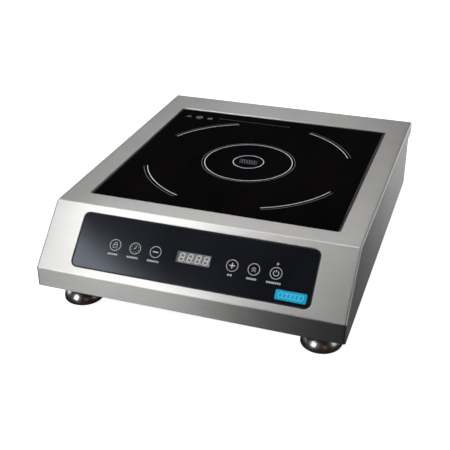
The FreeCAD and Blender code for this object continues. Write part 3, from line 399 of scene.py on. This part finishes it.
def new_tree(name, inputs):
    """Geometry tree with a Geometry input, named float or object inputs, and a Geometry output."""
    tree = bpy.data.node_groups.new(name, "GeometryNodeTree")
    tree.interface.new_socket(name="Geometry", in_out="INPUT", socket_type="NodeSocketGeometry")
    for label, kind in inputs:
        tree.interface.new_socket(name=label, in_out="INPUT", socket_type=kind)
    tree.interface.new_socket(name="Geometry", in_out="OUTPUT", socket_type="NodeSocketGeometry")
    return tree, tree.nodes.new("NodeGroupInput"), tree.nodes.new("NodeGroupOutput")


def finish_tree(tree, geometry, source, output):
    """Ends a tree in Realize Instances and Set Material."""
    real = add(tree, "GeometryNodeRealizeInstances", {"Geometry": geometry})
    painted = add(
        tree, "GeometryNodeSetMaterial",
        {"Geometry": real.outputs["Geometry"], "Material": source.outputs["Material"]},
    )
    tree.links.new(painted.outputs["Geometry"], output.inputs["Geometry"])
    return tree


def stroke_tree():
    """Flat printed strokes: every curve of the carrier gets a flat rectangular section."""
    tree, source, output = new_tree(
        "printed_strokes",
        [("Width", "NodeSocketFloat"), ("Height", "NodeSocketFloat"), ("Material", "NodeSocketMaterial")],
    )
    upright = add(tree, "GeometryNodeSetCurveNormal", {"Curve": source.outputs["Geometry"]}, mode="Z_UP")
    section = add(
        tree, "GeometryNodeCurvePrimitiveQuadrilateral",
        {"Width": source.outputs["Width"], "Height": source.outputs["Height"]},
    )
    ribbon = add(
        tree, "GeometryNodeCurveToMesh",
        {"Curve": upright.outputs["Curve"], "Profile Curve": section.outputs["Curve"], "Fill Caps": True},
    )
    return finish_tree(tree, ribbon.outputs["Mesh"], source, output)


def row_tree():
    """The carrier's shape repeated in a row along X."""
    tree, source, output = new_tree(
        "row_of_marks",
        [("Count", "NodeSocketInt"), ("Pitch", "NodeSocketFloat"), ("Material", "NodeSocketMaterial")],
    )
    offset = add(tree, "ShaderNodeCombineXYZ", {"X": source.outputs["Pitch"]})
    line = add(
        tree, "GeometryNodeMeshLine", {"Count": source.outputs["Count"], "Offset": offset.outputs["Vector"]}
    )
    copies = add(
        tree, "GeometryNodeInstanceOnPoints",
        {"Points": line.outputs["Mesh"], "Instance": source.outputs["Geometry"]},
    )
    return finish_tree(tree, copies.outputs["Instances"], source, output)


STROKES = stroke_tree()
ROW = row_tree()


def linked(name, data):
    """New object in the scene for a mesh, curve, light or camera."""
    made = bpy.data.objects.new(name, data)
    bpy.context.collection.objects.link(made)
    return made


def grown(name, carrier, tree, values):
    """Runs a tree on a carrier object and returns the result as one plain mesh object."""
    modifier = carrier.modifiers.new(name, "NODES")
    modifier.node_group = tree
    for item in tree.interface.items_tree:
        if item.item_type == "SOCKET" and item.in_out == "INPUT" and item.name in values:
            modifier[item.identifier] = values[item.name]
    carrier.update_tag()
    bpy.context.view_layer.update()
    evaluated = carrier.evaluated_get(bpy.context.evaluated_depsgraph_get())
    mesh = bpy.data.meshes.new_from_object(evaluated)
    mesh.name = name
    for face in mesh.polygons:
        face.material_index = 0
    mesh.materials.clear()
    mesh.materials.append(values["Material"])
    carrier.modifiers.remove(modifier)
    bpy.data.objects.remove(carrier)
    return linked(name, mesh)


def curve_carrier(lines):
    """Curve object with a straight-segment spline for each list of (x, y) points, closed if its ends meet."""
    curve = bpy.data.curves.new("carrier", "CURVE")
    curve.dimensions = "3D"
    for points in lines:
        closed = len(points) > 2 and (Vector(points[0]) - Vector(points[-1])).length < 1e-7
        kept = points[:-1] if closed else points
        spline = curve.splines.new("POLY")
        spline.points.add(len(kept) - 1)
        for point, (x, y) in zip(spline.points, kept):
            point.co = (x, y, 0.0, 1.0)
        spline.use_cyclic_u = closed
    return linked("carrier", curve)


def mesh_object(name, build):
    """New mesh object; build fills its bmesh."""
    bm = bmesh.new()
    build(bm)
    mesh = bpy.data.meshes.new(name)
    bm.to_mesh(mesh)
    bm.free()
    return linked(name, mesh)


def joined(name, pieces):
    """One mesh object from several, each of one finish."""
    bm = bmesh.new()
    slots = []
    for piece in pieces:
        start = len(bm.faces)
        bm.from_mesh(piece.data)
        bm.faces.ensure_lookup_table()
        finish = piece.data.materials[0]
        if finish not in slots:
            slots.append(finish)
        for face in bm.faces[start:]:
            face.material_index = slots.index(finish)
    mesh = bpy.data.meshes.new(name)
    bm.to_mesh(mesh)
    bm.free()
    for finish in slots:
        mesh.materials.append(finish)
    for piece in pieces:
        bpy.data.objects.remove(piece)
    return linked(name, mesh)


def outward(made):
    """Recalculates normals to point out."""
    bm = bmesh.new()
    bm.from_mesh(made.data)
    bmesh.ops.recalc_face_normals(bm, faces=bm.faces)
    bm.to_mesh(made.data)
    bm.free()


def put(made, matrix):
    """Places a finished piece in its mesh, and makes it ride on the housing."""
    outward(made)
    made.data.transform(matrix)
    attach(made, HOUSING)


# ---------------------------------------------------------------- drawing

def arc(radius, start, end, middle=(0.0, 0.0), steps=None):
    """Points along an arc, angles in degrees."""
    steps = steps or max(6, int(abs(end - start) / 4))
    angles = [math.radians(start + (end - start) * i / steps) for i in range(steps + 1)]
    return [(middle[0] + radius * math.cos(a), middle[1] + radius * math.sin(a)) for a in angles]


def strokes(name, lines, width, finish):
    """Printed lines of one width and finish."""
    values = {"Width": width, "Height": INK_HEIGHT, "Material": finish}
    return grown(name, curve_carrier(lines), STROKES, values)


def row(name, carrier, count, pitch, finish):
    """A shape repeated along X."""
    return grown(name, carrier, ROW, {"Count": count, "Pitch": pitch, "Material": finish})


def flat_block(width, depth):
    """Thin printed block round the origin."""
    low, high = -0.02 * MM, 0.03 * MM
    corners = (-width / 2, -depth / 2, low), (width / 2, depth / 2, high)
    return mesh_object("block", lambda bm: box_into(bm, *corners))


def moved(lines, x, y):
    """Lines shifted across and up."""
    return [[(px + x, py + y) for px, py in line] for line in lines]


def print_glass_marks():
    """Zone ring and corner arcs with their faint echoes, the middle ring, and the coil sign in it."""
    bright = [arc(ZONE_RADIUS, 0, 360, steps=120), arc(MIDDLE_RING_RADIUS, 0, 360, steps=72)]
    faint = [arc(ZONE_RADIUS + 3.5 * MM, 0, 360, steps=120)]
    for middle in (45, 135, 225, 315):
        start, end = middle - CORNER_HALF_SWEEP, middle + CORNER_HALF_SWEEP
        bright.append(arc(CORNER_RADIUS, start, end, steps=40))
        faint.append(arc(CORNER_RADIUS + 4.2 * MM, start, end, steps=40))
    rings = strokes("glass_rings", bright, 0.8 * MM, GLASS_INK)
    echoes = strokes("glass_ring_echoes", faint, 0.6 * MM, FAINT_INK)
    loops = coil_sign(7, 3.1 * MM, 1.35 * MM, 5.6 * MM, -0.16)
    coil = strokes("glass_coil_sign", loops, 0.45 * MM, FAINT_INK)
    for piece in (rings, echoes, coil):
        put(piece, MARKS)


def coil_sign(loops, pitch, half_width, half_height, slant):
    """Row of slanted loops."""
    signs = []
    for i in range(loops):
        middle = pitch * (i - (loops - 1) / 2)
        loop = []
        for x, y in arc(1.0, 0, 360, steps=20):
            loop.append((middle + half_width * x + slant * half_height * y, half_height * y))
        signs.append(loop)
    return signs


def print_glass_signs():
    """Three small plain signs at the rear left corner, and a fine dashed line beside them."""
    size = 4.2 * MM
    warning = [arc(size, 90, 450, steps=3), arc(0.6 * MM, 0, 360)]
    hot_plate = [arc(size, 0, 360), arc(0.55 * size, 0, 360)]
    wave = [(x * MM, 0.5 * MM * math.sin(1.6 * x)) for x in (i * 0.5 - 3.5 for i in range(15))]
    heat = [[(x, y + lift) for x, y in wave] for lift in (-1.8 * MM, 0.0, 1.8 * MM)]
    lines = []
    for sign, place in zip((warning, hot_plate, heat), SIGN_PLACES):
        lines += moved(sign, place, 0.0)
    signs = strokes("glass_signs", lines, 0.75 * MM, SIGN_INK)
    dashes = row("glass_fine_dashes", flat_block(2.4 * MM, 0.6 * MM), 28, 3.6 * MM, FAINT_INK)
    put(signs, MARKS @ Matrix.Translation((0.0, SIGNS_UP, 0.0)))
    put(dashes, MARKS @ Matrix.Translation((DASHES_START, DASHES_UP, 0.0)))


def box_into(bm, low, high):
    """Adds a plain box to a bmesh."""
    middle = [(a + b) / 2 for a, b in zip(low, high)]
    size = [b - a for a, b in zip(low, high)]
    bmesh.ops.create_cube(bm, size=1.0, matrix=Matrix.Translation(middle) @ Matrix.Diagonal((*size, 1.0)))


def padlock():
    """Closed padlock: body outline, shackle and keyhole."""
    w, low, high = 2.6 * MM, -3.4 * MM, 0.6 * MM
    body = [(-w, low), (w, low), (w, high), (-w, high), (-w, low)]
    shackle = [(-1.7 * MM, high)] + arc(1.7 * MM, 180, 0, (0.0, 1.7 * MM)) + [(1.7 * MM, high)]
    return [body, shackle, [(0.0, -1.9 * MM), (0.0, -0.9 * MM)]]


def clock():
    """Clock face: eight ticks and two hands."""
    ticks = []
    for i in range(8):
        angle = math.radians(45 * i + 22.5)
        ticks.append([(r * math.cos(angle), r * math.sin(angle)) for r in (4.0 * MM, 5.0 * MM)])
    hands = [(-1.9 * MM, -0.9 * MM), (0.3 * MM, 0.0), (0.9 * MM, 2.9 * MM)]
    return ticks + [hands]


def power_sign():
    """Open ring with a stroke in its gap."""
    return [arc(3.1 * MM, 125, 415), [(0.0, 1.2 * MM), (0.0, 3.9 * MM)]]


def chevrons():
    """Two arrowheads, one over the other."""
    head = [(-2.4 * MM, -1.4 * MM), (0.0, 0.9 * MM), (2.4 * MM, -1.4 * MM)]
    return moved([head], 0.0, 1.5 * MM) + moved([head], 0.0, -1.3 * MM)


def bar():
    """Minus."""
    return [[(-3.4 * MM, 0.0), (3.4 * MM, 0.0)]]


def cross():
    """Plus."""
    return bar() + [[(0.0, -3.4 * MM), (0.0, 3.4 * MM)]]


KEYS = (
    # name, place across, sign, its stroke, width of the blocks below, how many blocks
    ("lock", -87.0 * MM, padlock, 0.5 * MM, 11.5 * MM, 5),
    ("timer", -64.1 * MM, clock, 0.55 * MM, 13.0 * MM, 6),
    ("minus", -40.7 * MM, bar, 1.0 * MM, 13.5 * MM, 6),
    ("plus", 44.0 * MM, cross, 1.0 * MM, 5.5 * MM, 2),
    ("boost", 67.1 * MM, chevrons, 0.6 * MM, 11.0 * MM, 5),
    ("power", 90.4 * MM, power_sign, 0.65 * MM, 15.5 * MM, 7),
)
BLOCKS_DOWN = 10.2 * MM              # a key's middle to its blocks
BLOCK_HEIGHT = 2.0 * MM
BLOCK_FILL = 0.68                    # share of the pitch that a block takes


def print_keys():
    """Six touch keys: a ring, a sign in it, and plain blocks below."""
    key_up = PANEL_MIDDLE_DOWN - KEY_DOWN
    for name, x, sign, width, blocks_width, blocks in KEYS:
        ring = strokes(f"key_ring_{name}", [arc(KEY_RADIUS, 0, 360, steps=48)], KEY_STROKE, KEY_INK)
        lines = [[(px * SIGN_SCALE, py * SIGN_SCALE) for px, py in line] for line in sign()]
        inner = strokes(f"key_sign_{name}", lines, width, KEY_INK)
        face = joined(f"key_{name}", [ring, inner])
        put(face, SLOPE @ Matrix.Translation((x, key_up, 0.0)))
        pitch = blocks_width / blocks
        block = flat_block(BLOCK_FILL * pitch, BLOCK_HEIGHT)
        below = row(f"key_blocks_{name}", block, blocks, pitch, LABEL_INK)
        start = x - 0.6 * MM - pitch * (blocks - 1) / 2
        put(below, SLOPE @ Matrix.Translation((start, key_up - BLOCKS_DOWN, 0.0)))


def segment(start, end, thick):
    """Six-sided bar between two points, pointed at both ends."""
    (x0, y0), (x1, y1) = start, end
    along = Vector((x1 - x0, y1 - y0)).normalized()
    side = Vector((-along.y, along.x)) * thick / 2
    tip = along * thick / 2
    a, b = Vector(start), Vector(end)
    return [a, a + tip + side, b - tip + side, b, b - tip - side, a + tip - side]


def digit_into(bm):
    """The seven segments of an 8, leaning a little, with its point."""
    wide, tall, thick, gap, lean = 4.7 * MM, 8.4 * MM, 1.0 * MM, 0.12 * MM, 0.16
    xs, ys = (-wide / 2, wide / 2), (-tall / 2, 0.0, tall / 2)
    bars = [((xs[0] + gap, y), (xs[1] - gap, y)) for y in ys]
    bars += [((x, y0 + gap), (x, y1 - gap)) for x in xs for y0, y1 in zip(ys, ys[1:])]
    outlines = [segment(a, b, thick) for a, b in bars]
    point = 0.62 * MM
    middle = Vector((wide / 2 + 1.9 * MM, -tall / 2 + 0.3 * MM))
    outlines.append([middle + point * Vector((math.cos(math.radians(a)), math.sin(math.radians(a))))
                     for a in range(0, 360, 45)])
    low, high = -0.05 * MM, 0.06 * MM
    for outline in outlines:
        top = [bm.verts.new((p.x + lean * p.y, p.y, high)) for p in outline]
        bottom = [bm.verts.new((p.x + lean * p.y, p.y, low)) for p in outline]
        bm.faces.new(top)
        bm.faces.new(bottom[::-1])
        for i in range(len(outline)):
            j = (i + 1) % len(outline)
            bm.faces.new((top[i], bottom[i], bottom[j], top[j]))


def light_display():
    """Four digits on the display's face."""
    digits = row("display_digits", mesh_object("digit", digit_into), 4, 8.9 * MM, DIGIT_LIT)
    first = DISPLAY_MIDDLE - DISPLAY_WIDTH / 2 + 6.2 * MM
    up = PANEL_MIDDLE_DOWN - DISPLAY_DOWN
    put(digits, SLOPE @ Matrix.Translation((first, up, -DISPLAY_RECESS)))


def print_badge():
    """Plain coil sign on the blue plate."""
    low, high = (Vector(corner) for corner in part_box("badge_plate"))
    across = (low.x + high.x) / 2
    sign = strokes("badge_sign", coil_sign(6, 4.2 * MM, 2.3 * MM, 2.9 * MM, 0.16), 0.6 * MM, BADGE_INK)
    place = Matrix.Translation((across, PANEL_MIDDLE_DOWN - BADGE_DOWN, BADGE_THICK))
    put(sign, SLOPE @ place)


# ---------------------------------------------------------------- CAD nodes

def finish_nodes():
    """Gives every CAD node its finish."""
    slots = {entry["node"]: entry["material_slot"] for entry in frame["record"]["subparts"]}
    for name, made in frame["nodes"].items():
        finish = FINISHES[slots[name]]
        made.data.materials.clear()
        made.data.materials.append(finish)


# ---------------------------------------------------------------- studio

CAMERA_PLACE = (0.2734, -0.8657, 0.5241)
CAMERA_RIGHT = Vector((0.94566, 0.32516, -0.00239))
CAMERA_FORWARD = Vector((-0.2868, 0.8306, -0.4774))
CAMERA_LENS = 66.43
FLOOR_HALF_WIDTH = 9.0
FLOOR_DROP = 5.2 * MM                # the feet's travel and a little more
DOME_RADIUS = 12.0


def add_camera():
    """Camera a little to the right and above, at a short portrait distance."""
    data = bpy.data.cameras.new("camera")
    data.lens = CAMERA_LENS
    data.sensor_width = 36.0
    data.clip_end = 50.0
    made = linked("camera", data)
    right = CAMERA_RIGHT.normalized()
    forward = CAMERA_FORWARD.normalized()
    up = right.cross(forward).normalized()
    turn = Matrix((right, up, -forward)).transposed().to_4x4()
    made.matrix_world = Matrix.Translation(CAMERA_PLACE) @ turn
    bpy.context.scene.camera = made


def soft_light(name, azimuth, elevation, distance, size, strength, colour):
    """Soft rectangular light aimed at the hob. Azimuth 0 is the cook's side and 90 the cook's right."""
    turn, rise = math.radians(azimuth), math.radians(elevation)
    way = Vector((math.sin(turn) * math.cos(rise), -math.cos(turn) * math.cos(rise), math.sin(rise)))
    data = bpy.data.lights.new(name, "AREA")
    data.shape = "RECTANGLE"
    data.size, data.size_y = size
    data.energy = math.pi * size[0] * size[1] * strength
    data.color = colour
    made = linked(name, data)
    made.location = HOB_MIDDLE + distance * way
    made.rotation_euler = (-way).to_track_quat("-Z", "Y").to_euler()


def pale_material(name, strength):
    """Pale studio surface, slightly uneven, lit a little from within so that shadows stay soft."""
    made = material(name, (0.85, 0.85, 0.85), 0.8)
    uneven = noise(made, even(made, 3.0), detail=2.0)
    glow(made, paint(made, uneven, (0.86, 0.86, 0.86), (0.90, 0.90, 0.90)), strength)
    return made


def add_stage():
    """Pale floor just under the feet's lowest reach, and a far pale dome. The metal reflects neither."""
    below = Matrix.Translation((0.0, 0.0, -FLOOR_DROP))
    floor = mesh_object(
        "floor",
        lambda bm: bmesh.ops.create_grid(bm, x_segments=1, y_segments=1, size=FLOOR_HALF_WIDTH, matrix=below),
    )
    floor.data.materials.append(pale_material("floor_pale", 1.05))
    dome = mesh_object(
        "backdrop", lambda bm: bmesh.ops.create_uvsphere(bm, u_segments=48, v_segments=24, radius=DOME_RADIUS)
    )
    dome.data.materials.append(pale_material("backdrop_pale", 1.3))
    for piece in (floor, dome):
        piece.visible_glossy = False
        piece.visible_transmission = False
    dome.visible_diffuse = False
    dome.visible_shadow = False


def add_world():
    """Nearly dark surroundings, so that the soft lights shape the steel."""
    world = bpy.data.worlds.new("studio")
    world.use_nodes = True
    bpy.context.scene.world = world
    background = world.node_tree.nodes["Background"]
    background.inputs["Color"].default_value = (0.012, 0.012, 0.013, 1.0)
    background.inputs["Strength"].default_value = 1.0


HOB_MIDDLE = Vector((0.0, -0.02, 0.09))
SOFT_LIGHTS = (
    # name, azimuth, elevation, distance, size, strength, colour
    ("key_light", 322, 37.4, 2.0, (0.94, 0.6), 3.0, (1.0, 1.0, 1.0)),
    ("low_front_light", 336, 13, 2.0, (0.6, 0.8), 4.7, (1.0, 1.0, 1.0)),
    ("ceiling_light", 300, 76, 1.0, (0.4, 0.8), 4.4, (1.0, 0.995, 0.985)),
    ("rear_low_light", 157, 8, 2.0, (0.65, 0.75), 2.7, (1.0, 1.0, 1.0)),
    ("right_light", 90, 12, 2.0, (1.3, 0.9), 1.1, (1.0, 0.99, 0.97)),
    ("right_ceiling_light", 90, 58, 1.6, (0.9, 0.9), 1.6, (1.0, 1.0, 1.0)),
    ("left_light", 270, 12, 2.0, (1.3, 0.9), 1.3, (1.0, 1.0, 1.0)),
    ("left_ceiling_light", 270, 40, 1.8, (0.9, 0.6), 1.4, (1.0, 1.0, 1.0)),
    ("rear_left_light", 230, 12, 2.0, (0.8, 0.8), 1.5, (1.0, 1.0, 1.0)),
    ("rear_right_light", 125, 14, 2.0, (0.7, 0.8), 1.0, (1.0, 1.0, 1.0)),
    ("warm_light", 32, 6, 2.0, (0.5, 0.4), 0.5, (1.0, 0.42, 0.16)),
)


def add_lights():
    """Large soft lights front left and overhead, and weaker ones all round, so that no side is black."""
    for light in SOFT_LIGHTS:
        soft_light(*light)
    bpy.context.scene.view_settings.view_transform = "Standard"


add_camera()
finish_nodes()
print_glass_marks()
print_glass_signs()
print_keys()
light_display()
print_badge()
add_stage()
add_world()
add_lights()
